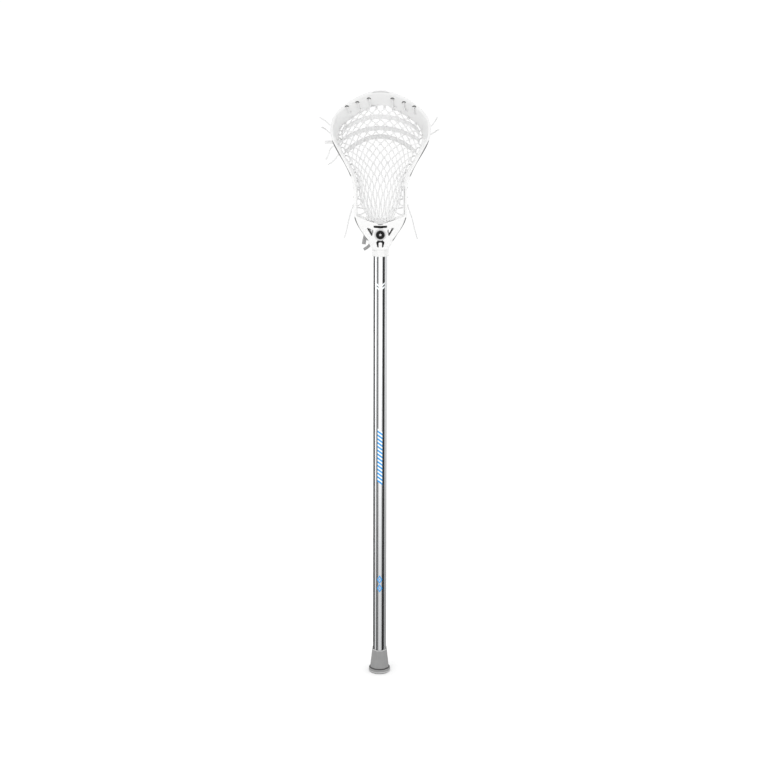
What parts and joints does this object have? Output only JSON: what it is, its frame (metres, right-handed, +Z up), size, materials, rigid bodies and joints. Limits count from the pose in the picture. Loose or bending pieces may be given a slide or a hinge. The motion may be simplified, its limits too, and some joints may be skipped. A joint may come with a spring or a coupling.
{
  "type": "lacrosse stick",
  "caption": "Short lacrosse stick with an octagonal metal shaft, an open moulded head strung with a knotted net pocket, and a rubber butt cap.",
  "frame": {"origin": "centre of the butt cap's flat bottom face", "axes": "+Z runs up the shaft to the scoop, -Y is the open catching face, +Y the back of the pocket, X lies across the head"},
  "size_m": [0.1977, 0.0878, 1.0158],
  "materials": {
    "shaft_alloy": "polished",
    "cap_rubber": "matt",
    "head_nylon": "satin",
    "foam_pad": "matt",
    "badge_black": "gloss",
    "screw_steel": "satin",
    "net_cord": "knotted",
    "nylon_string": "braided",
    "flat_lace": "woven",
    "grey_lace": "woven"
  },
  "bodies": {
    "butt_cap": {"butt_cap": "cap_rubber"},
    "head_screw": {"head_screw": "screw_steel"},
    "stick": {"ball_stop_pad": "foam_pad", "bottom_string": "nylon_string", "head_frame": "head_nylon", "lace_tail": "flat_lace", "net": "net_cord", "shaft": "shaft_alloy", "shooting_lace_lower": "flat_lace", "shooting_lace_middle": "flat_lace", "shooting_lace_upper": "flat_lace", "sidewall_string_left": "nylon_string", "sidewall_string_right": "nylon_string", "string_knots": "nylon_string", "string_tail_lower_left": "nylon_string", "string_tail_middle_left": "nylon_string", "string_tail_side_left": "nylon_string", "string_tail_side_right": "nylon_string", "string_tail_top_left": "nylon_string", "string_tail_top_right": "nylon_string", "string_tail_upper_left": "nylon_string", "string_tail_upper_right": "nylon_string", "throat_badge": "badge_black", "throat_tail_long": "grey_lace", "throat_tail_short": "grey_lace", "top_string": "nylon_string"}
  },
  "joints": [
    {"name": "butt_cap_pull", "type": "slide", "parent": "stick", "child": "butt_cap", "axis": [0, 0, -1], "range_m": [0, 0.045]},
    {"name": "head_screw_withdraw", "type": "slide", "parent": "stick", "child": "head_screw", "axis": [0, 1, 0], "range_m": [0, 0.016]}
  ]
}
